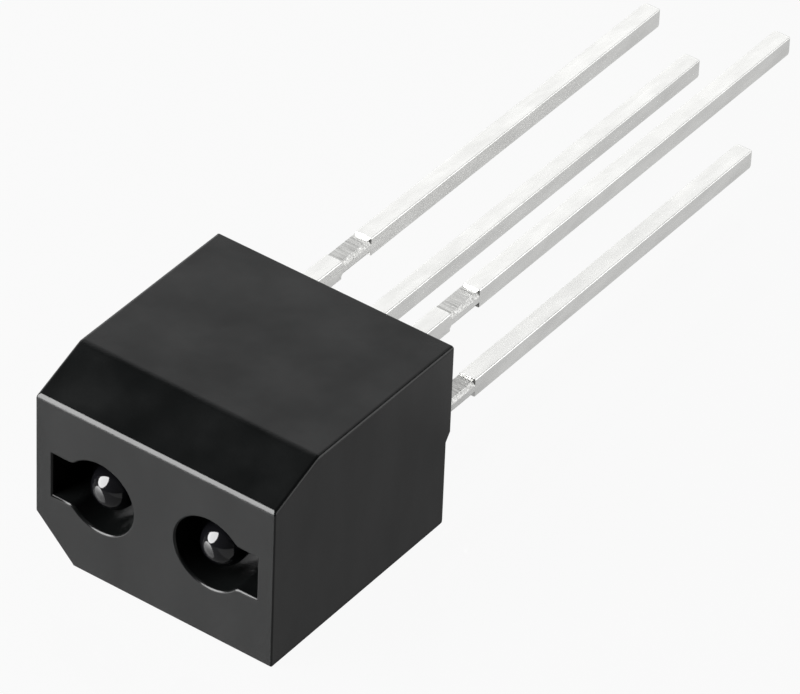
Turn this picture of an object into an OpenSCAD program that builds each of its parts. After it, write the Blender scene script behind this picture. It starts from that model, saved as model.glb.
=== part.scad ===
// Reflective optical sensor: a black housing with an infrared emitter and a phototransistor
// side by side behind two windows, and four straight leads out of the back.
// Frame: X across the two channels, +Y from the lens face to the leads, +Z up to the top face.
// The origin is the middle of the housing's underside.

/* [Housing] */
// Width across both channels
housing_w = 6.5; // [6.3:0.1:8]
// Depth from the lens face to the lead face
housing_d = 6.4; // [6.1:0.1:8]
// Height from the underside to the top face
housing_h = 4.9; // [4.8:0.1:6]
// Height of the optical axes above the underside
axis_z = 2.28; // [2.2:0.02:2.4]
// Distance between the two optical axes
channel_pitch = 3; // [2.8:0.05:3.1]
// Thickness of the wall in front of the pockets
front_wall = 1.1; // [1.1:0.05:1.3]
// How far back the slope at the front of the top face runs
slope_run = 1.5; // [0.8:0.05:2.2]
// How far that slope drops at the lens face
slope_drop = 0.6; // [0.3:0.05:0.7]
// Leg of the 45 degree chamfer that marks one lower corner
mark_chamfer = 1; // [0.6:0.05:1.1]
// How far the lower half of the lead face is set back
rear_step = 0.15; // [0.05:0.05:0.25]
// Height at which the set-back half of the lead face ends
rear_step_z = 2.3; // [1.8:0.1:2.6]
// Height of the ramp between the two halves of the lead face
rear_step_rise = 0.22; // [0.1:0.01:0.4]
// Radius of the moulded outer edges
edge_r = 0.12; // [0.05:0.01:0.2]
// Radius of the lower edge of the lead face
rear_lower_r = 0.3; // [0.1:0.05:0.5]

/* [Windows] */
// Gap between a lens and the wall of its window
window_gap = 0.37; // [0.3:0.01:0.4]
// Height of the slot that runs out of each window
slot_h = 1.14; // [0.9:0.02:1.3]
// Wall left between a slot and the side of the housing
slot_wall = 0.46; // [0.4:0.02:0.6]
// Radius where a slot meets its round window
slot_fillet = 0.25; // [0.1:0.05:0.3]

/* [Packages] */
// Width of an emitter or detector package
package_w = 2.1; // [1.9:0.05:2.2]
// Resin that covers the leads above and below
lead_cover = 0.22; // [0.2:0.02:0.26]
// Leg of the chamfer that keys a package into its pocket
key_chamfer = 0.5; // [0.3:0.05:0.6]
// Distance from the lead face of the housing in to a package's back
package_recess = 0.4; // [0.3:0.05:0.6]
// Diameter of the lens dome
lens_d = 1.1; // [1:0.05:1.2]
// Length of the round neck between a package's front and its dome
lens_neck = 0.5; // [0.4:0.05:0.5]
// Gap between a package and its pocket, on each side
pocket_clearance = 0.05; // [0.02:0.01:0.08]
// Height of the snap rib in a pocket
snap_rib_h = 0.12; // [0.1:0.01:0.14]
// Length of the snap rib along the pocket
snap_rib_l = 0.5; // [0.4:0.05:0.6]
// Distance from the lead face to the middle of the snap rib
snap_rib_inset = 1.3; // [1.2:0.05:1.4]

/* [Leads] */
// Distance between the two leads of one package
lead_pitch = 2.54; // [2.5:0.02:2.6]
// Thickness of the lead frame, across the channels
lead_t = 0.45; // [0.35:0.05:0.5]
// Width of a lead, from its lower to its upper edge
lead_w = 0.5; // [0.4:0.05:0.55]
// Anode lead beyond the lead face
anode_l = 16.4; // [8:0.1:25]
// Cathode lead beyond the lead face
cathode_l = 14.5; // [8:0.1:25]
// Collector lead beyond the lead face
collector_l = 14.2; // [8:0.1:25]
// Phototransistor emitter lead beyond the lead face
emitter_l = 15.5; // [8:0.1:25]
// Bevel at the end of a lead
tip_bevel = 0.12; // [0.05:0.01:0.15]
// Distance from the lead face to where the tie bars were cut off
shear_start = 2; // [1:0.1:3]
// Length of that cut along the lead
shear_l = 1.1; // [0.6:0.1:2]
// Depth that the cut takes out of each edge of the lead
shear_depth = 0.06; // [0.03:0.01:0.1]
// Half-width that the anchor barb adds inside the resin
barb_h = 0.07; // [0.04:0.01:0.1]
// Length of the anchor barb
barb_l = 0.45; // [0.3:0.05:0.6]

/* [Die seats] */
// Distance from a package's front to the faces that the dies sit on
die_setback = 1.3; // [1.1:0.05:1.5]
// Outer diameter of the emitter's reflector cup
cup_d = 1; // [0.9:0.02:1.1]
// Gap between the corners of the adhesive and the wall of the cup
cup_floor_gap = 0.02; // [0.01:0.01:0.04]
// Depth of the cup
cup_depth = 0.25; // [0.15:0.01:0.28]
// Wall of the cup at its rim
cup_rim = 0.08; // [0.05:0.01:0.1]
// Metal under the cup floor and under the detector's pad
seat_t = 0.25; // [0.2:0.01:0.3]
// Width of the detector's square pad
pad_w = 0.8; // [0.7:0.02:0.9]
// Length of the arm that carries a die seat, along the lead
arm_l = 0.5; // [0.4:0.05:0.6]
// Neck between an arm and its die seat
neck_l = 0.3; // [0.2:0.05:0.4]
// Width that a bonding post reaches in towards the axis
post_reach = 0.3; // [0.2:0.02:0.34]
// Length of a bonding post's head
post_l = 0.45; // [0.3:0.05:0.6]

/* [Dies] */
// Side of the emitter die
emitter_die_w = 0.3; // [0.24:0.01:0.32]
// Thickness of the emitter die
emitter_die_t = 0.15; // [0.1:0.01:0.18]
// Side of the phototransistor die
detector_die_w = 0.5; // [0.4:0.02:0.56]
// Thickness of the phototransistor die
detector_die_t = 0.2; // [0.15:0.01:0.22]
// Thickness of the conductive adhesive under a die
attach_t = 0.03; // [0.02:0.01:0.04]
// How far the adhesive shows round a die
attach_border = 0.04; // [0.02:0.01:0.05]
// Side of the bond wire's section
wire_w = 0.03; // [0.02:0.01:0.04]
// Height of the bond wire's loop
loop_h = 0.42; // [0.34:0.02:0.5]
// Diameter of the ball that ends the wire on the die
ball_d = 0.1; // [0.08:0.01:0.12]
// Height of that ball
ball_h = 0.04; // [0.03:0.01:0.06]

/* [Hidden] */

lens_y = -housing_d / 2;
lead_y = housing_d / 2;
package_front = lens_y + front_wall;
package_back = lead_y - package_recess;
package_h = lead_pitch + lead_w + 2 * lead_cover;
window_d = lens_d + 2 * window_gap;
slot_reach = housing_w / 2 - slot_wall - channel_pitch / 2;
snap_y = lead_y - snap_rib_inset;
seat_y = package_front + die_setback;
arm_y = seat_y + seat_t + neck_l;
barb_y = arm_y + arm_l + barb_l;
post_inner = lead_pitch / 2 - lead_w / 2 - post_reach;
cup_floor_d = sqrt(2) * (emitter_die_w + 2 * attach_border) + 2 * cup_floor_gap;
// Sides of the two channels: the emitter is on -X, the detector on +X
emitter_side = -1;
detector_side = 1;
// Length that a cut runs past the face it opens
overrun = 1;
arc_steps = 6;
round_fn = 64;

function unit(v) = v / norm(v);

function arc(centre, r, from, to, steps = arc_steps) =
    [for (i = [0:steps]) let (a = from + (to - from) * i / steps) centre + r * [cos(a), sin(a)]];

// Points that round the corner p between the neighbours a and b
function corner_arc(a, p, b, r) =
    let (
        u = unit(a - p),
        v = unit(b - p),
        half = acos(u * v) / 2,
        centre = p + unit(u + v) * r / sin(half),
        s = p + u * r / tan(half) - centre,
        e = p + v * r / tan(half) - centre,
        from = atan2(s.y, s.x),
        turn = atan2(s.x * e.y - s.y * e.x, s * e)
    )
    arc(centre, r, from, from + turn);

function rounded(points, radii) =
    let (n = len(points))
    [for (i = [0:n - 1]) each corner_arc(points[(i + n - 1) % n], points[i], points[(i + 1) % n], radii[i])];

function reversed(points) = [for (i = [len(points) - 1:-1:0]) points[i]];

// Path moved sideways by a distance, square to its own direction
function shifted(path, by) =
    let (last = len(path) - 1)
    [for (i = [0:last])
        let (way = unit(path[min(i + 1, last)] - path[max(i - 1, 0)]))
        path[i] + by * [-way.y, way.x]];

// Where the top of a die of the given thickness lies along Y
function die_top(die_t) = seat_y - attach_t - die_t;

// Extrudes an outline drawn in (x, z) along Y
module along_y(from, to) {
    translate([0, to, 0])
        rotate([90, 0, 0])
            linear_extrude(to - from)
                children();
}

// Extrudes an outline drawn in (y, z) along X
module along_x(from, to) {
    translate([from, 0, 0])
        rotate([90, 0, 90])
            linear_extrude(to - from)
                children();
}

// Puts a channel's own frame, with its axis along Y, in place
module channel(side) {
    translate([side * channel_pitch / 2, 0, axis_z])
        children();
}

// Outer shape of the housing: three rounded outlines that cross
module housing_block() {
    half_w = housing_w / 2;
    set_back = lead_y - rear_step;
    intersection() {
        along_x(-half_w, half_w)
            polygon(rounded(
                [
                    [lens_y, 0],
                    [set_back, 0],
                    [set_back, rear_step_z],
                    [lead_y, rear_step_z + rear_step_rise],
                    [lead_y, housing_h],
                    [lens_y + slope_run, housing_h],
                    [lens_y, housing_h - slope_drop],
                ],
                [edge_r, rear_lower_r, rear_step / 4, rear_step / 4, edge_r, edge_r, edge_r]
            ));
        along_y(lens_y, lead_y)
            polygon(rounded(
                [
                    [-half_w + mark_chamfer, 0],
                    [half_w, 0],
                    [half_w, housing_h],
                    [-half_w, housing_h],
                    [-half_w, mark_chamfer],
                ],
                [for (i = [0:4]) edge_r]
            ));
        linear_extrude(housing_h)
            polygon(rounded(
                [[-half_w, lens_y], [half_w, lens_y], [half_w, lead_y], [-half_w, lead_y]],
                [for (i = [0:3]) edge_r / 2]
            ));
    }
}

// Round window with its slot towards the outside of the housing
module window_outline(side) {
    r = window_d / 2;
    half_slot = slot_h / 2;
    fillet_z = half_slot + slot_fillet;
    fillet_x = sqrt((r + slot_fillet) ^ 2 - fillet_z ^ 2);
    lean = atan2(fillet_z, fillet_x);
    flank = arc([fillet_x, fillet_z], slot_fillet, 180 + lean, 270);
    upper = concat([[0, 0]], flank, [[slot_reach, half_slot]]);
    lower = [for (i = [len(upper) - 1:-1:1]) [upper[i].x, -upper[i].y]];
    circle(r, $fn = round_fn);
    polygon([for (p = concat(upper, lower)) [side * p.x, p.y]]);
}

// Section of a package, keyed at its lower outer corner, grown by a clearance
module package_outline(side, grow = 0) {
    w = package_w / 2 + grow;
    h = package_h / 2 + grow;
    key = key_chamfer + grow * (2 - sqrt(2));
    polygon([for (p = [[w, h], [-w, h], [-w, -h], [w - key, -h], [w, key - h]]) [side * p.x, p.y]]);
}

// Section of the snap rib that stands on a pocket wall, or of its groove when grown by a clearance
module snap_section(grow = 0) {
    wall = package_h / 2 + pocket_clearance;
    half = snap_rib_l / 2 + sqrt(2) * grow;
    rise = snap_rib_h + grow;
    polygon([
        [snap_y - half, wall],
        [snap_y - half + rise, wall - rise],
        [snap_y + half - rise, wall - rise],
        [snap_y + half, wall],
    ]);
}

module pocket(side) {
    difference() {
        along_y(package_front, lead_y + overrun)
            package_outline(side, pocket_clearance);
        for (flip = [0, 1])
            mirror([0, 0, flip])
                along_x(-package_w / 4, package_w / 4)
                    snap_section();
    }
}

module window_cut(side) {
    along_y(lens_y - overrun, package_front)
        window_outline(side);
}

module housing() {
    color("#2e3030")
        difference() {
            housing_block();
            for (side = [emitter_side, detector_side])
                channel(side) {
                    pocket(side);
                    window_cut(side);
                }
        }
}

// Moulded resin package with its lens dome, before it takes up what it holds
module package_block(side) {
    difference() {
        along_y(package_front, package_back)
            package_outline(side);
        for (flip = [0, 1])
            mirror([0, 0, flip])
                along_x(-package_w / 4 - pocket_clearance, package_w / 4 + pocket_clearance)
                    snap_section(pocket_clearance);
    }
    translate([0, package_front, 0])
        rotate([90, 0, 0])
            rotate_extrude($fn = round_fn)
                lens_section();
}

// Half section of a lens: neck and dome, rooted in the resin block
module lens_section() {
    r = lens_d / 2;
    root = r / 2;
    polygon(concat([[0, -root], [r, -root]], arc([0, lens_neck], r, 0, 90, 4 * arc_steps)));
}

module infrared_emitter_package() {
    color("#17181a")
        difference() {
            channel(emitter_side)
                package_block(emitter_side);
            anode_lead();
            cathode_lead();
            infrared_die();
            infrared_die_attach();
            infrared_bond_wire();
        }
}

module phototransistor_package() {
    color("#141516")
        difference() {
            channel(detector_side)
                package_block(detector_side);
            collector_lead();
            emitter_lead();
            phototransistor_die();
            phototransistor_die_attach();
            phototransistor_bond_wire();
        }
}

// Outer edge of a lead from its anchor barb to its tip, measured from the lead's middle
function run_edge(length) =
    let (tip = lead_y + length)
    concat(
        swelling(barb_y, barb_l, barb_h),
        notch(lead_y + shear_start, shear_l, shear_depth),
        [[tip - tip_bevel, lead_w / 2], [tip, lead_w / 2 - tip_bevel]]
    );

// Stretch where the edge of a lead stands out, with sloping ends
function swelling(from, length, rise) = [
    [from, lead_w / 2],
    [from + rise, lead_w / 2 + rise],
    [from + length - rise, lead_w / 2 + rise],
    [from + length, lead_w / 2],
];

// Stretch where the edge of a lead is cut back: it slopes in and ends in an upright lip
function notch(from, length, depth) = [
    [from, lead_w / 2],
    [from + depth, lead_w / 2 - depth],
    [from + length, lead_w / 2 - depth],
    [from + length, lead_w / 2],
];

// Blade of a lead with its head given from the inner edge round to the outer one;
// level is +1 above the optical axis and -1 below it
module blade(level, length, head) {
    edge = run_edge(length);
    outer = [for (p = edge) [p.x, lead_pitch / 2 + p.y]];
    inner = [for (p = reversed(edge)) [p.x, lead_pitch / 2 - p.y]];
    intersection() {
        along_x(-lead_t / 2, lead_t / 2)
            polygon([for (p = concat(outer, inner, head)) [p.x, level * p.y]]);
        lead_plan(length);
    }
}

// Limits a lead to its bevelled tip as seen from above
module lead_plan(length) {
    tip = lead_y + length;
    half = lead_t / 2;
    translate([0, 0, -package_h])
        linear_extrude(2 * package_h)
            polygon([
                [-half, package_front],
                [half, package_front],
                [half, tip - tip_bevel],
                [half - tip_bevel, tip],
                [tip_bevel - half, tip],
                [-half, tip - tip_bevel],
            ]);
}

// Lead whose arm reaches the axis and carries the die seat
module seat_lead(side, level, length, seat_w) {
    arm_top = lead_pitch / 2 + lead_w / 2;
    channel(side) {
        blade(level, length, [
            [arm_y + arm_l, arm_top - lead_w],
            [arm_y + arm_l, -seat_w / 2],
            [seat_y + seat_t, -seat_w / 2],
            [seat_y + seat_t, seat_w / 2],
            [arm_y, seat_w / 2],
            [arm_y, arm_top],
        ]);
        translate([0, seat_y, 0])
            rotate([90, 0, 0])
                children();
    }
}

// Lead that ends in a bonding post level with the top of a die of the given thickness
module post_lead(side, level, length, die_t) {
    head_y = die_top(die_t);
    channel(side)
        blade(level, length, [
            [head_y + post_l + post_reach, post_inner + post_reach],
            [head_y + post_l, post_inner],
            [head_y, post_inner],
            [head_y, lead_pitch / 2 + lead_w / 2],
        ]);
}

// Reflector cup turned about the axis, with its floor at zero
module reflector_cup() {
    rotate_extrude($fn = round_fn)
        polygon([
            [0, -seat_t],
            [cup_d / 2 - cup_rim, -seat_t],
            [cup_d / 2, -seat_t / 2],
            [cup_d / 2, cup_depth],
            [cup_d / 2 - cup_rim, cup_depth],
            [cup_floor_d / 2, 0],
            [0, 0],
        ]);
}

module detector_pad() {
    translate([-pad_w / 2, -pad_w / 2, -seat_t])
        cube([pad_w, pad_w, seat_t]);
}

module anode_lead() {
    color("#d9dadb")
        post_lead(emitter_side, -1, anode_l, emitter_die_t);
}

module cathode_lead() {
    color("#d2d3d4")
        seat_lead(emitter_side, 1, cathode_l, lead_w)
            reflector_cup();
}

module collector_lead() {
    color("#d2d3d4")
        seat_lead(detector_side, -1, collector_l, pad_w)
            detector_pad();
}

module emitter_lead() {
    color("#d9dadb")
        post_lead(detector_side, 1, emitter_l, detector_die_t);
}

// Square slab that lies on a die seat: its side, thickness and height above the seat
module slab(side, w, t, lift) {
    channel(side)
        translate([-w / 2, seat_y - lift - t, -w / 2])
            cube([w, t, w]);
}

// Bond wire: a flat parabolic loop from the die to the post, and the ball at its start
module bond_wire(side, level, die_t) {
    y0 = die_top(die_t);
    span = post_inner + post_reach;
    steps = 16;
    path = [for (i = [-1:steps + 1]) let (t = i / steps) [y0 - 4 * loop_h * t * (1 - t), level * span * t]];
    channel(side) {
        along_x(-wire_w / 2, wire_w / 2)
            intersection() {
                polygon(concat(shifted(path, wire_w / 2), reversed(shifted(path, -wire_w / 2))));
                translate([y0 - 2 * loop_h, -package_h / 2])
                    square([2 * loop_h, package_h]);
            }
        translate([0, y0, 0])
            rotate([90, 0, 0])
                cylinder(h = ball_h, d = ball_d, $fn = 12);
    }
}

module infrared_die() {
    color("#5b4a6b")
        slab(emitter_side, emitter_die_w, emitter_die_t, attach_t);
}

module infrared_die_attach() {
    color("#b9b9b4")
        slab(emitter_side, emitter_die_w + 2 * attach_border, attach_t, 0);
}

module infrared_bond_wire() {
    color("#d9a441")
        bond_wire(emitter_side, -1, emitter_die_t);
}

module phototransistor_die() {
    color("#4a5560")
        slab(detector_side, detector_die_w, detector_die_t, attach_t);
}

module phototransistor_die_attach() {
    color("#b9b9b4")
        slab(detector_side, detector_die_w + 2 * attach_border, attach_t, 0);
}

module phototransistor_bond_wire() {
    color("#d9a441")
        bond_wire(detector_side, 1, detector_die_t);
}

housing();
infrared_emitter_package();
phototransistor_package();
anode_lead();
cathode_lead();
collector_lead();
emitter_lead();
infrared_die();
infrared_die_attach();
infrared_bond_wire();
phototransistor_die();
phototransistor_die_attach();
phototransistor_bond_wire();
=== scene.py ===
"""Looks of a reflective optical sensor: black moulded housing, two glossy packages, four tinned leads.

Pieces are modelled in millimetres in the CAD frame and scaled to metres when they are finished.
"""

import math
from contextlib import contextmanager

import bmesh
import bpy
from mathutils import Matrix, Vector


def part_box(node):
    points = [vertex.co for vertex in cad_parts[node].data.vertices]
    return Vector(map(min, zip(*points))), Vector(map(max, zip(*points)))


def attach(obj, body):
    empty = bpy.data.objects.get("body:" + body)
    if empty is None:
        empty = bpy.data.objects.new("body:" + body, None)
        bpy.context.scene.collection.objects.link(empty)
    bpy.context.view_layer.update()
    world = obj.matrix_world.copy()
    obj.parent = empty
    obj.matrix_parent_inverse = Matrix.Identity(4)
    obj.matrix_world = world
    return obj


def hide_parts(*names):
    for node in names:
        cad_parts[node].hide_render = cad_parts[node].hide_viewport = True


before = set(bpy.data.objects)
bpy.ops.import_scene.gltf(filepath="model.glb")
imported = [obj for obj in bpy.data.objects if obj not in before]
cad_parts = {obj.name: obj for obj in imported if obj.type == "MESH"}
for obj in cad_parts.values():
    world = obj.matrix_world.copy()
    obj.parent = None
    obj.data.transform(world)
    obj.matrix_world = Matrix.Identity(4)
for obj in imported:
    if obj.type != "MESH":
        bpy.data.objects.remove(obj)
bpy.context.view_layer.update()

MM = 0.001

# Housing, in millimetres
FRONT_WALL = 1.1
SLOPE_RUN = 1.5
SLOPE_DROP = 0.6
MARK_CHAMFER = 1.0
REAR_STEP = 0.15
REAR_STEP_Z = 2.3
REAR_STEP_RISE = 0.22
EDGE_R = 0.1
UPRIGHT_EDGE_R = 0.04
CRISP_EDGE_R = 0.05
BROW_R = 0.14
SLOPE_CREST_R = 0.5
REAR_LOWER_R = 0.3
RAMP_EDGE_R = 0.04
RIM_R = 0.065

# Windows and pockets
WINDOW_R = 0.92
SLOT_H = 1.14
SLOT_WALL = 0.46
SLOT_FILLET = 0.25
POCKET_CLEARANCE = 0.05
SNAP_RIB_H = 0.12
SNAP_RIB_L = 0.5
SNAP_RIB_INSET = 1.3

# Packages
PACKAGE_W = 2.1
KEY_CHAMFER = 0.5
LENS_R = 0.55
LENS_NECK = 0.5
LENS_ROOT_R = 0.05

# Leads
LEAD_PITCH = 2.54
LEAD_T = 0.45
LEAD_W = 0.5
LEAD_EDGE_R = 0.035
TIP_R = 0.12
SHEAR_START = 2.0
SHEAR_L = 1.1
SHEAR_DEPTH = 0.06
SHEAR_FACET = 0.07
SHEAR_FACET_PITCH = 1.6
SHEAR_LEAD_IN = 0.022
SHEAR_LEAD_IN_DROP = SHEAR_LEAD_IN / 3
SHEAR_LIP_R = 0.012
BARB_H = 0.07
BARB_L = 0.45

# Die seats, inside the resin
DIE_SETBACK = 1.3
SEAT_T = 0.25
CUP_R = 0.5
CUP_RIM = 0.08
CUP_DEPTH = 0.25
CUP_FLOOR_R = 0.289
PAD_W = 0.8
ARM_L = 0.5
NECK_L = 0.3
POST_REACH = 0.3
POST_L = 0.45

# How far cutting tools reach past what they cut, and the lengths that count as nothing
OVERRUN = 1.0
TINY = 1e-4
MERGE = 5e-4

# A unit vector's share along an axis: nearly all of it, or hardly any
ALONG = 0.9
ACROSS = 0.1

# Turns between two faces: rounded from the first on, shaded sharp from the second, an open rim from the third
LEAST_TURN = math.radians(12)
SHARP_TURN = math.radians(32)
RIM_TURN = math.radians(50)


def box_mm(node):
    """Lowest and highest corner of a CAD node, in millimetres."""
    return tuple(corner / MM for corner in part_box(node))


HOUSING_LOW, HOUSING_HIGH = box_mm("housing")
LENS_Y = HOUSING_LOW.y
LEAD_Y = HOUSING_HIGH.y
PACKAGE_FRONT = LENS_Y + FRONT_WALL
SEAT_Y = PACKAGE_FRONT + DIE_SETBACK
ARM_Y = SEAT_Y + SEAT_T + NECK_L
BARB_Y = ARM_Y + ARM_L + BARB_L


def linear(hex_colour, alpha=1.0):
    """Linear colour of an sRGB hex value."""
    parts = [int(hex_colour[i:i + 2], 16) / 255 for i in (1, 3, 5)]
    return [p / 12.92 if p <= 0.04045 else ((p + 0.055) / 1.055) ** 2.4 for p in parts] + [alpha]


# Modelling


def activate(piece):
    bpy.ops.object.select_all(action="DESELECT")
    piece.select_set(True)
    bpy.context.view_layer.objects.active = piece


def place_in_mesh(piece):
    """Moves an object's place, turn and size into its mesh."""
    activate(piece)
    bpy.ops.object.transform_apply(location=True, rotation=True, scale=True)


def block(name, low, high):
    """Box between two corners."""
    low, high = Vector(low), Vector(high)
    bpy.ops.object.select_all(action="DESELECT")
    bpy.ops.mesh.primitive_cube_add(size=1, location=(low + high) / 2)
    piece = bpy.context.object
    piece.name = name
    piece.scale = high - low
    place_in_mesh(piece)
    return piece


def rod(name, axis, y_from, y_to, radius, front_radius=None, sides=64):
    """Round bar along Y; with a front radius it tapers towards the lens face."""
    bpy.ops.object.select_all(action="DESELECT")
    bpy.ops.mesh.primitive_cone_add(
        vertices=sides,
        radius1=radius,
        radius2=radius if front_radius is None else front_radius,
        depth=y_to - y_from,
        location=(axis.x, (y_from + y_to) / 2, axis.z),
        rotation=(math.radians(90), 0, 0),
    )
    piece = bpy.context.object
    piece.name = name
    place_in_mesh(piece)
    return piece


@contextmanager
def editing(piece, kind="FACE"):
    """Edit mode with nothing selected."""
    activate(piece)
    bpy.ops.object.mode_set(mode="EDIT")
    bpy.ops.mesh.select_mode(type=kind)
    bpy.ops.mesh.select_all(action="DESELECT")
    yield
    bpy.ops.object.mode_set(mode="OBJECT")


def pick(piece, parts, test):
    """Selects the verts, edges or faces that pass a test; call it inside editing()."""
    mesh = bmesh.from_edit_mesh(piece.data)
    for item in getattr(mesh, parts):
        item.select_set(bool(test(item)))
    mesh.select_flush_mode()
    bmesh.update_edit_mesh(piece.data)


def middle(edge):
    return (edge.verts[0].co + edge.verts[1].co) / 2


def way(edge):
    return (edge.verts[0].co - edge.verts[1].co).normalized()


def turn(edge):
    """Angle between an edge's two faces."""
    return edge.calc_face_angle(0.0) if len(edge.link_faces) == 2 else 0.0


def slice_off(piece, point, normal):
    """Cuts away what lies on a plane's outer side and closes the cut."""
    with editing(piece):
        bpy.ops.mesh.select_all(action="SELECT")
        bpy.ops.mesh.bisect(
            plane_co=point,
            plane_no=Vector(normal).normalized(),
            use_fill=True,
            clear_outer=True,
            threshold=TINY,
        )


def score(piece, faces, point, normal):
    """Cuts a line across the faces that pass a test."""
    with editing(piece):
        pick(piece, "faces", faces)
        bpy.ops.mesh.bisect(plane_co=point, plane_no=normal, threshold=TINY)


def shift(piece, verts, by):
    """Moves the vertices that pass a test."""
    with editing(piece, "VERT"):
        pick(piece, "verts", verts)
        bpy.ops.transform.translate(value=by)


def pull(piece, faces, by):
    """Extrudes the faces that pass a test."""
    with editing(piece):
        pick(piece, "faces", faces)
        bpy.ops.mesh.extrude_region_move(TRANSFORM_OT_translate={"value": by})


def bevel(piece, edges, width, segments=1):
    """Bevels the edges that pass a test."""
    with editing(piece, "EDGE"):
        pick(piece, "edges", edges)
        bpy.ops.mesh.bevel(offset=width, segments=segments, clamp_overlap=False, loop_slide=False)


def apply_modifier(piece, kind, **settings):
    modifier = piece.modifiers.new(kind.lower(), kind)
    for name, value in settings.items():
        setattr(modifier, name, value)
    activate(piece)
    bpy.ops.object.modifier_apply(modifier=modifier.name)


def cut(piece, tool):
    apply_modifier(piece, "BOOLEAN", operation="DIFFERENCE", object=tool, solver="EXACT")
    bpy.data.objects.remove(tool)


def fuse(piece, tool):
    apply_modifier(piece, "BOOLEAN", operation="UNION", object=tool, solver="EXACT")
    bpy.data.objects.remove(tool)


def mend(piece):
    """Merges what a cut left almost touching and takes out the walls that it left inside."""
    with editing(piece, "VERT"):
        bpy.ops.mesh.select_all(action="SELECT")
        bpy.ops.mesh.remove_doubles(threshold=MERGE)
        bpy.ops.mesh.select_all(action="SELECT")
        bpy.ops.mesh.dissolve_degenerate(threshold=TINY)
    with editing(piece):
        bpy.ops.mesh.select_interior_faces()
        bpy.ops.mesh.delete(type="FACE")


def copy_of(piece, name):
    """Copy of a piece with its own mesh."""
    copy = piece.copy()
    copy.data = piece.data.copy()
    copy.name = name
    bpy.context.scene.collection.objects.link(copy)
    return copy


def copy_of_node(node):
    """Copy of a CAD node in millimetres, with its loose triangles merged."""
    copy = copy_of(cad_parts[node], "inner_" + node)
    copy.parent = None
    copy.scale = (1 / MM,) * 3
    place_in_mesh(copy)
    with editing(copy, "VERT"):
        bpy.ops.mesh.select_all(action="SELECT")
        bpy.ops.mesh.remove_doubles(threshold=TINY)
    return copy


def round_edges(piece, radius_of, segments=4):
    """Rounds every sharp edge to the radius that radius_of gives for it."""
    mesh = bmesh.new()
    mesh.from_mesh(piece.data)
    reach = [
        radius_of(edge) * math.tan(turn(edge) / 2) if turn(edge) > LEAST_TURN else 0.0
        for edge in mesh.edges
    ]
    widest = max(reach)
    weight = mesh.edges.layers.float.new("bevel_weight_edge")
    for edge, amount in zip(mesh.edges, reach):
        edge[weight] = amount / widest
    mesh.to_mesh(piece.data)
    mesh.free()
    apply_modifier(
        piece,
        "BEVEL",
        limit_method="WEIGHT",
        width=widest,
        segments=segments,
        use_clamp_overlap=False,
    )


def finish_piece(piece, node, slot, *materials):
    """Smooth shading, metres, materials, and the CAD node that the piece stands for."""
    activate(piece)
    bpy.ops.object.shade_smooth_by_angle(angle=SHARP_TURN)
    apply_modifier(piece, "WEIGHTED_NORMAL", keep_sharp=True, weight=60)
    piece.scale = (MM,) * 3
    place_in_mesh(piece)
    for material in materials:
        piece.data.materials.append(material)
    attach(piece, "root")
    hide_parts(node)


# Materials


# The stretch of 0 to 1 that a noise texture really fills
NOISE_SPAN = {"From Min": 0.3, "From Max": 0.7}


def per_mm(size):
    """Pattern scale, in cells per metre, of features that many millimetres wide."""
    return 1 / (size * MM)


def add_node(tree, kind, links=None, values=None, **settings):
    """Adds a node, joins it to other nodes' outputs and sets its inputs."""
    made = tree.nodes.new(kind)
    for name, value in settings.items():
        setattr(made, name, value)
    for name, value in (values or {}).items():
        made.inputs[name].default_value = value
    for name, source in (links or {}).items():
        tree.links.new(source, made.inputs[name])
    return made.outputs[0]


def new_material(name, **sockets):
    """Principled material; returns it with its tree, its shader and the object coordinates."""
    material = bpy.data.materials.new(name)
    material.use_nodes = True
    tree = material.node_tree
    shader = tree.nodes["Principled BSDF"]
    for socket, value in sockets.items():
        shader.inputs[socket.replace("_", " ")].default_value = value
    place = tree.nodes.new("ShaderNodeTexCoord").outputs["Object"]
    return material, tree, shader, place


def moulded_plastic():
    # Black polycarbonate, injection moulded in a fine spark-eroded tool: a satin skin of tiny pits
    # that spreads every reflection, with slow flow marks in its gloss.
    material, tree, shader, place = new_material("moulded_polycarbonate", IOR=1.38)
    along = add_node(tree, "ShaderNodeMapping", {"Vector": place}, {"Scale": (1, 1, 0.4)})
    flow = add_node(
        tree, "ShaderNodeTexNoise", {"Vector": along}, {"Scale": per_mm(1.6), "Detail": 3.0})
    pits = add_node(
        tree, "ShaderNodeTexNoise", {"Vector": place}, {"Scale": per_mm(0.05), "Detail": 1.0})
    shade = add_node(
        tree, "ShaderNodeMapRange", {"Value": flow}, {**NOISE_SPAN, "To Min": 0.9, "To Max": 1.1})
    gloss = add_node(
        tree, "ShaderNodeMapRange", {"Value": flow}, {**NOISE_SPAN, "To Min": 0.15, "To Max": 0.27})
    colour = add_node(
        tree, "ShaderNodeHueSaturation", {"Value": shade}, {"Color": linear("#080909")})
    sheen = add_node(
        tree, "ShaderNodeMapRange", {"Value": flow}, {**NOISE_SPAN, "To Min": 0.44, "To Max": 0.56})
    waves = add_node(tree, "ShaderNodeBump", {"Height": flow}, {"Distance": 0.014 * MM})
    skin = add_node(tree, "ShaderNodeBump", {"Height": pits, "Normal": waves}, {"Distance": 0.0012 * MM})
    tree.links.new(colour, shader.inputs["Base Color"])
    tree.links.new(gloss, shader.inputs["Roughness"])
    tree.links.new(sheen, shader.inputs["Specular IOR Level"])
    tree.links.new(skin, shader.inputs["Normal"])
    return material


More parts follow.
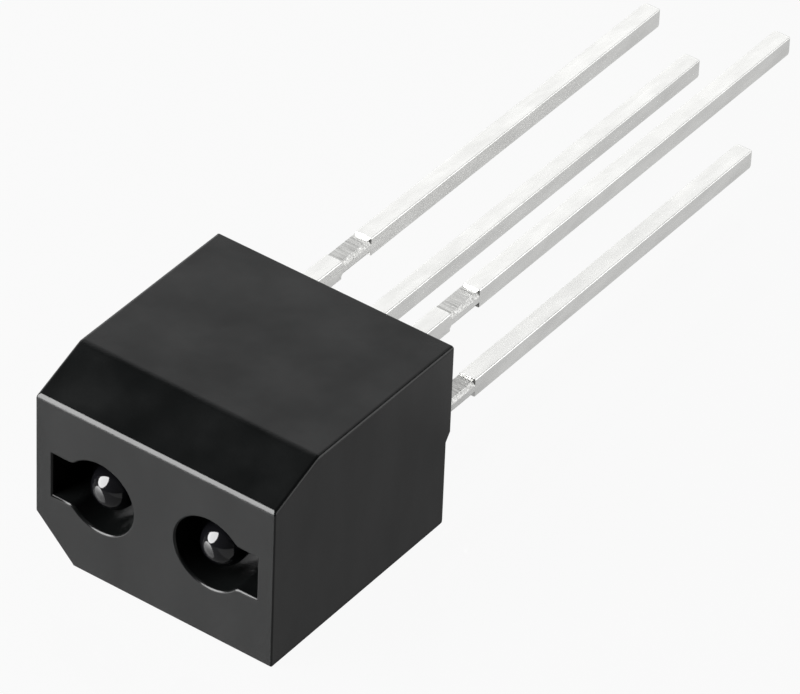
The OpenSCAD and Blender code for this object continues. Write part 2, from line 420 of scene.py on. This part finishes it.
def dyed_epoxy():
    # Infrared-passing epoxy, transfer moulded in a polished cavity: glassy and almost black, with
    # the faint waviness of a cast surface.
    material, tree, shader, place = new_material("dyed_epoxy", IOR=1.53)
    wave = add_node(
        tree, "ShaderNodeTexNoise", {"Vector": place}, {"Scale": per_mm(0.35), "Detail": 1.0})
    shade = add_node(
        tree, "ShaderNodeMapRange", {"Value": wave}, {**NOISE_SPAN, "To Min": 0.85, "To Max": 1.15})
    gloss = add_node(
        tree, "ShaderNodeMapRange", {"Value": wave}, {**NOISE_SPAN, "To Min": 0.04, "To Max": 0.08})
    colour = add_node(
        tree, "ShaderNodeHueSaturation", {"Value": shade}, {"Color": linear("#0a0a0c")})
    skin = add_node(tree, "ShaderNodeBump", {"Height": wave}, {"Distance": 0.0005 * MM})
    tree.links.new(colour, shader.inputs["Base Color"])
    tree.links.new(gloss, shader.inputs["Roughness"])
    tree.links.new(skin, shader.inputs["Normal"])
    return material


def tin_plate():
    # Tin on rolled copper alloy, punched and dipped: bright, soft-edged reflections drawn out along
    # the strip, with slow ripples where the tin froze.
    material, tree, shader, place = new_material("hot_dipped_tin", Metallic=1.0)
    drawn = add_node(tree, "ShaderNodeMapping", {"Vector": place}, {"Scale": (1, 0.07, 1)})
    pooled = add_node(tree, "ShaderNodeMapping", {"Vector": place}, {"Scale": (1, 0.4, 1)})
    lines = add_node(
        tree, "ShaderNodeTexNoise", {"Vector": drawn}, {"Scale": per_mm(0.12), "Detail": 1.0})
    ripple = add_node(
        tree, "ShaderNodeTexNoise", {"Vector": pooled}, {"Scale": per_mm(0.4), "Detail": 2.0})
    shade = add_node(
        tree, "ShaderNodeMapRange", {"Value": ripple}, {**NOISE_SPAN, "To Min": 0.93, "To Max": 1.04})
    gloss = add_node(
        tree, "ShaderNodeMapRange", {"Value": lines}, {**NOISE_SPAN, "To Min": 0.24, "To Max": 0.34})
    colour = add_node(
        tree, "ShaderNodeHueSaturation", {"Value": shade}, {"Color": linear("#f4f4f2")})
    waves = add_node(
        tree, "ShaderNodeBump", {"Height": ripple}, {"Distance": 0.012 * MM, "Strength": 0.7})
    skin = add_node(
        tree, "ShaderNodeBump", {"Height": lines, "Normal": waves}, {"Distance": 0.0012 * MM})
    tree.links.new(colour, shader.inputs["Base Color"])
    tree.links.new(gloss, shader.inputs["Roughness"])
    tree.links.new(skin, shader.inputs["Normal"])
    return material


def sheared_strip():
    # The same strip where the tie bars were sheared off: torn metal, duller than the plate, with
    # drag lines across it about every 0.06 mm.
    material, tree, shader, place = new_material("sheared_strip", Metallic=1.0)
    across = add_node(tree, "ShaderNodeMapping", {"Vector": place}, {"Scale": (0.08, 1, 1)})
    drag = add_node(
        tree, "ShaderNodeTexNoise", {"Vector": across}, {"Scale": per_mm(0.06), "Detail": 2.0})
    grain = add_node(
        tree, "ShaderNodeTexNoise", {"Vector": place}, {"Scale": per_mm(0.05), "Detail": 2.0})
    shade = add_node(
        tree, "ShaderNodeMapRange", {"Value": drag}, {**NOISE_SPAN, "To Min": 0.66, "To Max": 1.1})
    gloss = add_node(
        tree, "ShaderNodeMapRange", {"Value": grain}, {**NOISE_SPAN, "To Min": 0.42, "To Max": 0.6})
    colour = add_node(
        tree, "ShaderNodeHueSaturation", {"Value": shade}, {"Color": linear("#d6d6d4")})
    marks = add_node(tree, "ShaderNodeBump", {"Height": drag}, {"Distance": 0.01 * MM})
    skin = add_node(
        tree, "ShaderNodeBump", {"Height": grain, "Normal": marks}, {"Distance": 0.003 * MM})
    tree.links.new(colour, shader.inputs["Base Color"])
    tree.links.new(gloss, shader.inputs["Roughness"])
    tree.links.new(skin, shader.inputs["Normal"])
    return material


def sawn_wafer(name, colour_hex):
    # Sawn semiconductor with a polished top: mirror-smooth, with faint saw marks on its sides.
    material, tree, shader, place = new_material(name, Metallic=0.6, Roughness=0.2)
    level = add_node(tree, "ShaderNodeMapping", {"Vector": place}, {"Scale": (0.12, 1, 1)})
    saw = add_node(
        tree, "ShaderNodeTexNoise", {"Vector": level}, {"Scale": per_mm(0.02), "Detail": 1.0})
    shade = add_node(
        tree, "ShaderNodeMapRange", {"Value": saw}, {**NOISE_SPAN, "To Min": 0.85, "To Max": 1.2})
    colour = add_node(
        tree, "ShaderNodeHueSaturation", {"Value": shade}, {"Color": linear(colour_hex)})
    skin = add_node(tree, "ShaderNodeBump", {"Height": saw}, {"Distance": 0.0005 * MM})
    tree.links.new(colour, shader.inputs["Base Color"])
    tree.links.new(skin, shader.inputs["Normal"])
    return material


def silver_epoxy():
    # Silver-filled epoxy, cured from a dab: dull grey with bright flakes.
    material, tree, shader, place = new_material("silver_epoxy", Metallic=0.7, Roughness=0.45)
    flakes = add_node(
        tree, "ShaderNodeTexNoise", {"Vector": place}, {"Scale": per_mm(0.02), "Detail": 2.0})
    shade = add_node(
        tree, "ShaderNodeMapRange", {"Value": flakes}, {**NOISE_SPAN, "To Min": 0.85, "To Max": 1.15})
    colour = add_node(
        tree, "ShaderNodeHueSaturation", {"Value": shade}, {"Color": linear("#b9b9b4")})
    skin = add_node(tree, "ShaderNodeBump", {"Height": flakes}, {"Distance": 0.002 * MM})
    tree.links.new(colour, shader.inputs["Base Color"])
    tree.links.new(skin, shader.inputs["Normal"])
    return material


def drawn_gold():
    # Drawn gold wire: warm and bright, with die lines along it.
    material, tree, shader, place = new_material("drawn_gold", Metallic=1.0, Roughness=0.25)
    along = add_node(tree, "ShaderNodeMapping", {"Vector": place}, {"Scale": (1, 0.15, 0.15)})
    lines = add_node(
        tree, "ShaderNodeTexNoise", {"Vector": along}, {"Scale": per_mm(0.01), "Detail": 1.0})
    shade = add_node(
        tree, "ShaderNodeMapRange", {"Value": lines}, {**NOISE_SPAN, "To Min": 0.9, "To Max": 1.1})
    colour = add_node(
        tree, "ShaderNodeHueSaturation", {"Value": shade}, {"Color": linear("#e0b455")})
    skin = add_node(tree, "ShaderNodeBump", {"Height": lines}, {"Distance": 0.0003 * MM})
    tree.links.new(colour, shader.inputs["Base Color"])
    tree.links.new(skin, shader.inputs["Normal"])
    return material


# Housing


def snap_rib(name, centre_x, wall_z, inward, grow=0.0):
    """Rib with sloping flanks that stands on a pocket's wall; inward is the way it points."""
    half_x = PACKAGE_W / 4 + grow
    y = LEAD_Y - SNAP_RIB_INSET
    half_y = SNAP_RIB_L / 2 + math.sqrt(2) * grow
    top = wall_z + inward * (SNAP_RIB_H + grow)
    foot = wall_z - inward * OVERRUN
    low, high = sorted((top, foot))
    rib = block(name, (centre_x - half_x, y - half_y, low), (centre_x + half_x, y + half_y, high))
    bevel(
        rib,
        lambda e: abs(middle(e).z - top) < TINY and abs(way(e).x) > ALONG,
        SNAP_RIB_H + grow,
    )
    return rib


def keyed_block(name, side, axis, half_w, half_h, y_from, y_to, key):
    """Block keyed by a chamfer at its lower outer corner."""
    low = (axis.x - half_w, y_from, axis.z - half_h)
    high = (axis.x + half_w, y_to, axis.z + half_h)
    piece = block(name, low, high)
    slice_off(piece, (axis.x + side * (half_w - key), 0, axis.z - half_h), (side, 0, -1))
    return piece


def window_form(side, axis):
    """Round window with a slot to the outside, filleted where they meet."""
    y_from, y_to = LENS_Y - OVERRUN, PACKAGE_FRONT
    half_slot = SLOT_H / 2
    reach = HOUSING_HIGH.x - SLOT_WALL - abs(axis.x)
    fillet_z = half_slot + SLOT_FILLET
    fillet_x = math.sqrt((WINDOW_R + SLOT_FILLET) ** 2 - fillet_z ** 2)
    touch = WINDOW_R / (WINDOW_R + SLOT_FILLET)
    window = rod("window", axis, y_from, y_to, WINDOW_R, sides=96)
    ends = sorted((axis.x, axis.x + side * reach))
    fuse(window, block("slot", (ends[0], y_from, axis.z - half_slot), (ends[1], y_to, axis.z + half_slot)))
    for level in (-1, 1):
        xs = sorted((axis.x + side * fillet_x * touch, axis.x + side * fillet_x))
        zs = sorted((axis.z, axis.z + level * fillet_z * touch))
        mouth = block("mouth", (xs[0], y_from, zs[0]), (xs[1], y_to, zs[1]))
        corner = Vector((axis.x + side * fillet_x, 0, axis.z + level * fillet_z))
        cut(mouth, rod("fillet", corner, y_from - OVERRUN, y_to + OVERRUN, SLOT_FILLET, sides=48))
        fuse(window, mouth)
    return window


def is_rim(edge):
    """True on the mouths of the windows and pockets."""
    if turn(edge) < RIM_TURN or not any(abs(f.normal.y) < ACROSS for f in edge.link_faces):
        return False
    if all(v.co.y < LENS_Y + TINY for v in edge.verts):
        return True
    return all(v.co.y > LEAD_Y - REAR_STEP - TINY for v in edge.verts)


def make_housing(channels):
    """The black moulding: its outside with rounded edges, then the pockets and the windows."""
    body = block("moulded_housing", HOUSING_LOW, HOUSING_HIGH)
    top = HOUSING_HIGH.z
    slice_off(body, (0, LENS_Y, top - SLOPE_DROP), (0, -SLOPE_DROP, SLOPE_RUN))
    slice_off(body, (HOUSING_LOW.x + MARK_CHAMFER, 0, 0), (-1, 0, -1))
    for z in (REAR_STEP_Z, REAR_STEP_Z + REAR_STEP_RISE):
        score(body, lambda f: f.normal.y > ALONG, (0, 0, z), (0, 0, 1))
    shift(body, lambda v: v.co.y > LEAD_Y - TINY and v.co.z < REAR_STEP_Z + TINY, (0, -REAR_STEP, 0))

    def radius_of(edge):
        place = middle(edge)
        if abs(way(edge).z) > ALONG:
            return UPRIGHT_EDGE_R
        if place.y > LEAD_Y - REAR_STEP - TINY and TINY < place.z < top - TINY:
            return RAMP_EDGE_R
        if abs(way(edge).x) < ALONG:
            return EDGE_R if place.z > TINY else CRISP_EDGE_R
        if place.z < TINY:
            return REAR_LOWER_R if place.y > 0 else CRISP_EDGE_R
        if place.z < top - TINY:
            return BROW_R
        return CRISP_EDGE_R if place.y > 0 else SLOPE_CREST_R

    round_edges(body, radius_of)
    for channel in channels:
        axis = channel["axis"]
        side = channel["side"]
        half_w = PACKAGE_W / 2 + POCKET_CLEARANCE
        half_h = channel["half_h"] + POCKET_CLEARANCE
        key = KEY_CHAMFER + POCKET_CLEARANCE * (2 - math.sqrt(2))
        back = LEAD_Y + OVERRUN
        pocket = keyed_block("pocket", side, axis, half_w, half_h, PACKAGE_FRONT, back, key)
        for level in (-1, 1):
            cut(pocket, snap_rib("rib", axis.x, axis.z + level * half_h, -level))
        cut(body, pocket)
        cut(body, window_form(side, axis))
    mend(body)
    bevel(body, is_rim, RIM_R, 3)
    return body


# Leads


def make_run(name, axis, level, start, tip):
    """Straight bar of a lead, with its anchor barb; level is +1 above the axis and -1 below."""
    mid_z = axis.z + level * LEAD_PITCH / 2
    low = (axis.x - LEAD_T / 2, start, mid_z - LEAD_W / 2)
    high = (axis.x + LEAD_T / 2, tip, mid_z + LEAD_W / 2)
    bar = block(name, low, high)
    for y in (BARB_Y, BARB_Y + BARB_H, BARB_Y + BARB_L - BARB_H, BARB_Y + BARB_L):
        score(bar, lambda f: True, (0, y, 0), (0, 1, 0))
    for way_z in (-1, 1):
        shift(
            bar,
            lambda v: BARB_Y + TINY < v.co.y < BARB_Y + BARB_L - TINY and (v.co.z - mid_z) * way_z > 0,
            (0, 0, way_z * BARB_H),
        )
    return bar


def add_arm(bar, axis, level, seat_w):
    """Arm to the axis and neck to the die seat, pulled out of the lead's end."""
    score(bar, lambda f: True, (0, ARM_Y + ARM_L, 0), (0, 1, 0))
    inner_gap = LEAD_PITCH / 2 - LEAD_W / 2
    pull(
        bar,
        lambda f: f.normal.z * level < -ALONG and f.calc_center_median().y < ARM_Y + ARM_L,
        (0, 0, -level * (inner_gap + seat_w / 2)),
    )
    score(bar, lambda f: f.normal.y < -ALONG, (0, 0, axis.z + level * seat_w / 2), (0, 0, 1))
    pull(
        bar,
        lambda f: f.normal.y < -ALONG and abs(f.calc_center_median().z - axis.z) < seat_w / 2,
        (0, -NECK_L, 0),
    )


def add_post(bar, axis, level, head_y):
    """Bonding post: the lead's end widened towards the axis, with a slope behind it."""
    slope_end = head_y + POST_L + POST_REACH
    score(bar, lambda f: True, (0, slope_end, 0), (0, 1, 0))
    pull(
        bar,
        lambda f: f.normal.z * level < -ALONG and f.calc_center_median().y < slope_end,
        (0, 0, -level * POST_REACH),
    )
    edge_z = axis.z + level * (LEAD_PITCH / 2 - LEAD_W / 2 - POST_REACH / 2)
    shift(
        bar,
        lambda v: abs(v.co.y - slope_end) < TINY and (v.co.z - edge_z) * level < 0,
        (0, -POST_REACH, 0),
    )


def reflector_cup(axis):
    """Cup pressed into the end of the emitter's lead."""
    cup = rod("cup", axis, SEAT_Y - CUP_DEPTH, SEAT_Y + SEAT_T / 2, CUP_R)
    with editing(cup):
        pick(cup, "faces", lambda f: f.normal.y > ALONG)
        bpy.ops.mesh.extrude_region_move(TRANSFORM_OT_translate={"value": (0, SEAT_T / 2, 0)})
        taper = (CUP_R - CUP_RIM) / CUP_R
        bpy.ops.transform.resize(value=(taper, 1, taper), center_override=(axis.x, SEAT_Y, axis.z))
    flare = (CUP_R - CUP_RIM - CUP_FLOOR_R) / CUP_DEPTH
    mouth_y = SEAT_Y - 2 * CUP_DEPTH
    cut(cup, rod("mouth", axis, mouth_y, SEAT_Y, CUP_FLOOR_R, CUP_FLOOR_R + flare * 2 * CUP_DEPTH))
    return cup


def detector_pad(axis):
    """Flat seat for the die at the end of the collector."""
    half = PAD_W / 2
    return block(
        "pad", (axis.x - half, SEAT_Y, axis.z - half), (axis.x + half, SEAT_Y + SEAT_T, axis.z + half))


def round_bar(bar, axis, tip):
    """Rounds the long edges and the tip of a lead."""

    def radius_of(edge):
        if middle(edge).y > tip - TINY:
            return TIP_R
        return LEAD_EDGE_R if middle(edge).y > BARB_Y + BARB_L and abs(way(edge).y) > ALONG else 0.0

    round_edges(bar, radius_of)


def shear_tool(axis, mid_z, way_z):
    """What the tie-bar punch takes out of one edge: a sloping start, an upright lip and a side facet."""
    crest = mid_z + way_z * LEAD_W / 2
    floor_z = crest - way_z * SHEAR_DEPTH
    y_from, y_to = LEAD_Y + SHEAR_START, LEAD_Y + SHEAR_START + SHEAR_L
    low, high = sorted((floor_z, crest + way_z * LEAD_W))
    side_x = axis.x + LEAD_T / 2
    reach = LEAD_T
    tool = block("punch", (axis.x - reach, y_from, low), (axis.x + reach, y_to, high))
    score(tool, lambda f: True, (side_x - SHEAR_FACET, 0, 0), (1, 0, 0))
    shift(
        tool,
        lambda v: abs(v.co.z - floor_z) < TINY and v.co.x > side_x,
        (0, 0, -way_z * (reach - LEAD_T / 2 + SHEAR_FACET) * SHEAR_FACET_PITCH),
    )
    for y in (y_from + SHEAR_LEAD_IN, y_from + SHEAR_DEPTH):
        score(tool, lambda f: True, (0, y, 0), (0, 1, 0))
    shift(tool, lambda v: v.co.y < y_from + TINY, (0, 0, way_z * SHEAR_DEPTH))
    shift(
        tool,
        lambda v: abs(v.co.y - y_from - SHEAR_LEAD_IN) < TINY,
        (0, 0, way_z * (SHEAR_DEPTH - SHEAR_LEAD_IN_DROP)),
    )
    return tool


def shear_edges(bar, axis, level):
    """Cuts the tie bars off both edges of a lead."""
    mid_z = axis.z + level * LEAD_PITCH / 2
    for way_z in (-1, 1):
        cut(bar, shear_tool(axis, mid_z, way_z))
    lip_y = LEAD_Y + SHEAR_START + SHEAR_L

    def is_lip(edge):
        if turn(edge) < RIM_TURN or any(abs(v.co.y - lip_y) > TINY for v in edge.verts):
            return False
        return min(f.calc_center_median().y for f in edge.link_faces) > lip_y - TINY

    bevel(bar, is_lip, SHEAR_LIP_R, 3)


def mark_sheared(piece, axis, level):
    """Gives the sheared floors and facets of a lead its second material."""
    mid_z = axis.z + level * LEAD_PITCH / 2
    y_from = LEAD_Y + SHEAR_START
    for face in piece.data.polygons:
        depth = LEAD_W / 2 - abs(face.center.z - mid_z)
        on_floor = abs(depth - SHEAR_DEPTH) < SHEAR_DEPTH / 5 and abs(face.normal.z) > ALONG
        slanted = face.normal.x > 0.5 and abs(face.normal.z) > 0.3
        on_facet = slanted and abs(face.normal.y) < ACROSS
        if (on_floor or on_facet) and y_from < face.center.y < y_from + SHEAR_L:
            face.material_index = 1


def make_lead(node, channel, level, seat):
    """One lead: with a seat it carries the die, and otherwise it ends in a bonding post."""
    axis = channel["axis"]
    tip = box_mm(node)[1].y
    start = ARM_Y if seat else box_mm(node)[0].y
    bar = make_run("tinned_" + node, axis, level, start, tip)
    if seat:
        add_arm(bar, axis, level, channel["neck_w"])
    else:
        add_post(bar, axis, level, start)
    round_bar(bar, axis, tip)
    if seat:
        fuse(bar, seat(axis))
    shear_edges(bar, axis, level)
    mend(bar)
    return bar


# Packages


def make_package(name, channel, inner):
    """Resin block with its snap grooves and dome, hollowed where it holds the leads and the die."""
    side, axis, half_h = channel["side"], channel["axis"], channel["half_h"]
    package = keyed_block(
        name, side, axis, PACKAGE_W / 2, half_h, PACKAGE_FRONT, channel["back"], KEY_CHAMFER)
    for level in (-1, 1):
        wall = axis.z + level * (half_h + POCKET_CLEARANCE)
        cut(package, snap_rib("groove", axis.x, wall, -level, POCKET_CLEARANCE))
    dome_y = PACKAGE_FRONT - LENS_NECK
    bpy.ops.object.select_all(action="DESELECT")
    bpy.ops.mesh.primitive_uv_sphere_add(
        segments=96,
        ring_count=64,
        radius=LENS_R,
        location=(axis.x, dome_y, axis.z),
        rotation=(math.radians(90), 0, 0),
    )
    dome = bpy.context.object
    place_in_mesh(dome)
    slice_off(dome, (0, dome_y, 0), (0, 1, 0))
    pull(dome, lambda f: f.normal.y > ALONG and len(f.verts) > 4, (0, LENS_NECK + LENS_R / 2, 0))
    fuse(package, dome)
    for tool in inner:
        cut(package, tool)
    mend(package)
    foot = Vector((axis.x, PACKAGE_FRONT, axis.z))

    def is_lens_root(edge):
        place = middle(edge)
        return abs(place.y - PACKAGE_FRONT) < TINY and (place - foot).length < LENS_R + LENS_ROOT_R

    bevel(package, is_lens_root, LENS_ROOT_R, 3)
    return package


# Camera, floor and lights

FOCAL_PX = 6973.7
IMAGE_W = 800
SENSOR_MM = 36.0
CAMERA_MM = (70.454, -94.618, 98.591)
CAMERA_RIGHT = Vector((0.80355, 0.59441, 0.03152))
CAMERA_UP = Vector((-0.38878, 0.48401, 0.78395))

# Floor; its white shows in reflections by a share that changes over a stretch of X and of Y: a painted glow,
# dim in front of the sensor and brighter beside and behind it
FLOOR_MM = 600
FLOOR_GAP = 0.005
FLOOR_WHITE = 0.94
PAINTED_GLOW_IN_FRONT = 0.08
PAINTED_GLOW_BESIDE = 0.37
PAINTED_GLOW_BEHIND = 0.56
BESIDE_FROM, BESIDE_TO = 3.1, 3.35
BEHIND_FROM, BEHIND_TO = 1.0, 8.0

# World; the backdrop's top and side edges are parts of a unit vector
ROOM_LEVEL = 0.05
BACKDROP_TOP = 0.5
BACKDROP_SIDE = 0.15
BACKDROP_BLUR = 0.08


def make_camera():
    """Camera of the photograph: a long lens from the front right, looking down at 38 degrees."""
    data = bpy.data.cameras.new("camera")
    data.sensor_width = SENSOR_MM
    data.lens = FOCAL_PX * SENSOR_MM / IMAGE_W
    data.clip_start = 0.01
    data.clip_end = 10
    camera = bpy.data.objects.new("camera", data)
    bpy.context.scene.collection.objects.link(camera)
    right = CAMERA_RIGHT.normalized()
    back = right.cross(CAMERA_UP).normalized()
    up = back.cross(right)
    turned = Matrix((right, up, back)).transposed().to_4x4()
    camera.matrix_world = Matrix.Translation(Vector(CAMERA_MM) * MM) @ turned
    bpy.context.scene.camera = camera


def direction(azimuth, elevation):
    """Unit vector towards a compass bearing: 0 is in front of the lens face, negative to the left."""
    a, e = math.radians(azimuth), math.radians(elevation)
    return Vector((math.sin(a) * math.cos(e), -math.cos(a) * math.cos(e), math.sin(e)))


def make_light(name, shape, size_mm, azimuth, elevation, distance_mm, radiance):
    """Area light that faces the sensor, with the brightness that its surface shows."""
    data = bpy.data.lights.new(name, "AREA")
    data.shape = shape
    data.size = size_mm[0] * MM
    data.size_y = size_mm[1] * MM
    area = data.size * data.size_y * (math.pi / 4 if shape == "ELLIPSE" else 1)
    data.energy = radiance * math.pi * area
    light = bpy.data.objects.new(name, data)
    bpy.context.scene.collection.objects.link(light)
    toward = direction(azimuth, elevation)
    light.location = (Vector((0, 0, HOUSING_HIGH.z / 2)) + toward * distance_mm) * MM
    light.rotation_mode = "QUATERNION"
    light.rotation_quaternion = toward.to_track_quat("Z", "Y")
    light.visible_camera = False


def seen_white(tree, mirrored_share):
    """1 for camera rays, a share for reflected and transmitted ones, 0 for scattered light."""
    path = tree.nodes.new("ShaderNodeLightPath").outputs
    mirrored = add_node(
        tree, "ShaderNodeMath", {0: path["Is Glossy Ray"], 1: path["Is Transmission Ray"]}, operation="ADD")
    share = add_node(tree, "ShaderNodeMath", {0: mirrored, 1: mirrored_share}, operation="MULTIPLY")
    return add_node(tree, "ShaderNodeMath", {0: share, 1: path["Is Camera Ray"]}, operation="ADD")


def make_floor():
    # White glazed board: smooth and clear-faced. To the camera it is almost pure white with a faint shadow.
    # In reflections it shows a painted glow, dim in front of the sensor and brighter beside and behind it.
    bpy.ops.object.select_all(action="DESELECT")
    bpy.ops.mesh.primitive_plane_add(size=FLOOR_MM, location=(0, 0, -FLOOR_GAP * MM))
    floor = bpy.context.object
    floor.name = "floor"
    floor.scale = (MM,) * 3
    place_in_mesh(floor)
    material, tree, shader, place = new_material("white_board", Roughness=0.04, IOR=1.58)
    mottle = add_node(
        tree, "ShaderNodeTexNoise", {"Vector": place}, {"Scale": per_mm(8), "Detail": 2.0})
    shade = add_node(
        tree, "ShaderNodeMapRange", {"Value": mottle}, {**NOISE_SPAN, "To Min": 0.99, "To Max": 1.01})
    colour = add_node(
        tree, "ShaderNodeHueSaturation", {"Value": shade}, {"Color": linear("#5c5c5c")})
    tree.links.new(colour, shader.inputs["Base Color"])
    glow = add_node(tree, "ShaderNodeEmission", values={"Color": linear("#ffffff"), "Strength": 1.0})
    spot = tree.nodes.new("ShaderNodeSeparateXYZ")
    tree.links.new(place, spot.inputs["Vector"])
    # Painted glow: the floor's white in reflections rises beside and behind the sensor and stays low in front
    # of it
    beside = add_node(
        tree, "ShaderNodeMapRange", {"Value": spot.outputs["X"]},
        {"From Min": BESIDE_FROM * MM, "From Max": BESIDE_TO * MM,
         "To Min": PAINTED_GLOW_IN_FRONT, "To Max": PAINTED_GLOW_BESIDE})
    behind = add_node(
        tree, "ShaderNodeMapRange", {"Value": spot.outputs["Y"]},
        {"From Min": BEHIND_FROM * MM, "From Max": BEHIND_TO * MM,
         "To Min": PAINTED_GLOW_IN_FRONT, "To Max": PAINTED_GLOW_BEHIND})
    share = add_node(tree, "ShaderNodeMath", {0: beside, 1: behind}, operation="MAXIMUM")
    seen = seen_white(tree, share)
    white = add_node(tree, "ShaderNodeMath", {0: seen}, {1: FLOOR_WHITE}, operation="MULTIPLY")
    mix = tree.nodes.new("ShaderNodeMixShader")
    tree.links.new(white, mix.inputs["Fac"])
    tree.links.new(shader.outputs["BSDF"], mix.inputs[1])
    tree.links.new(glow, mix.inputs[2])
    tree.links.new(mix.outputs["Shader"], tree.nodes["Material Output"].inputs["Surface"])
    floor.data.materials.append(material)


def make_world():
    """White to the camera, a dim room to the rest, and a white backdrop low behind in reflections."""
    world = bpy.data.worlds.new("studio")
    world.use_nodes = True
    tree = world.node_tree
    dim = tree.nodes["Background"]
    dim.inputs["Color"].default_value = linear("#ffffff")
    dim.inputs["Strength"].default_value = ROOM_LEVEL
    white = add_node(tree, "ShaderNodeBackground", values={"Color": linear("#ffffff"), "Strength": 1.0})
    toward = tree.nodes.new("ShaderNodeTexCoord").outputs["Generated"]
    split = tree.nodes.new("ShaderNodeSeparateXYZ")
    tree.links.new(toward, split.inputs["Vector"])
    low = add_node(
        tree, "ShaderNodeMapRange", {"Value": split.outputs["Z"]},
        {"From Min": BACKDROP_TOP - BACKDROP_BLUR, "From Max": BACKDROP_TOP + BACKDROP_BLUR,
         "To Min": 1.0, "To Max": 0.0})
    behind = add_node(
        tree, "ShaderNodeMapRange", {"Value": split.outputs["Y"]},
        {"From Min": BACKDROP_SIDE - BACKDROP_BLUR, "From Max": BACKDROP_SIDE + BACKDROP_BLUR})
    backdrop = add_node(tree, "ShaderNodeMath", {0: low, 1: behind}, operation="MULTIPLY")
    mix = tree.nodes.new("ShaderNodeMixShader")
    tree.links.new(seen_white(tree, backdrop), mix.inputs["Fac"])
    tree.links.new(dim.outputs["Background"], mix.inputs[1])
    tree.links.new(white, mix.inputs[2])
    tree.links.new(mix.outputs["Shader"], tree.nodes["World Output"].inputs["Surface"])
    bpy.context.scene.world = world


make_camera()
make_world()
make_floor()
make_light("front_softbox", "ELLIPSE", (88, 106), azimuth=-41, elevation=28, distance_mm=100, radiance=16)
make_light("rear_panel", "RECTANGLE", (170, 80), azimuth=-160, elevation=40, distance_mm=120, radiance=0.86)
make_light("side_panel", "RECTANGLE", (75, 60), azimuth=118, elevation=18, distance_mm=110, radiance=1.8)

EMITTER_CHANNEL, DETECTOR_CHANNEL = channels = [
    {
        "side": side,
        "axis": Vector(((low.x + high.x) / 2, 0, (low.z + high.z) / 2)),
        "half_h": (high.z - low.z) / 2,
        "back": high.y,
        "neck_w": neck_w,
    }
    for side, neck_w, (low, high) in (
        (-1, LEAD_W, box_mm("infrared_emitter_package")),
        (1, PAD_W, box_mm("phototransistor_package")),
    )
]

LEADS = (
    ("anode_lead", EMITTER_CHANNEL, -1, None),
    ("cathode_lead", EMITTER_CHANNEL, 1, reflector_cup),
    ("collector_lead", DETECTOR_CHANNEL, -1, detector_pad),
    ("emitter_lead", DETECTOR_CHANNEL, 1, None),
)
leads = {node: make_lead(node, channel, level, seat) for node, channel, level, seat in LEADS}

plastic = moulded_plastic()
resin = dyed_epoxy()
tin = tin_plate()
torn = sheared_strip()

for node, channel, lead_names, small in (
    ("infrared_emitter_package", EMITTER_CHANNEL, ("anode_lead", "cathode_lead"), "infrared"),
    ("phototransistor_package", DETECTOR_CHANNEL, ("collector_lead", "emitter_lead"), "phototransistor"),
):
    inner = [copy_of(leads[name], "inner_" + name) for name in lead_names]
    inner += [copy_of_node(small + part) for part in ("_die_attach", "_die", "_bond_wire")]
    package = make_package("moulded_" + node, channel, inner)
    finish_piece(package, node, "package_resin", resin)

finish_piece(make_housing(channels), "housing", "housing_plastic", plastic)

for node, channel, level, _ in LEADS:
    mark_sheared(leads[node], channel["axis"], level)
    finish_piece(leads[node], node, "lead_plate", tin, torn)

for node, material in (
    ("infrared_die", sawn_wafer("gallium_arsenide_wafer", "#5b4a6b")),
    ("phototransistor_die", sawn_wafer("silicon_wafer", "#4a5560")),
    ("infrared_die_attach", silver_epoxy()),
    ("phototransistor_die_attach", silver_epoxy()),
    ("infrared_bond_wire", drawn_gold()),
    ("phototransistor_bond_wire", drawn_gold()),
):
    for material_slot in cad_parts[node].material_slots:
        material_slot.material = material

scene = bpy.context.scene
scene.view_settings.view_transform = "Standard"
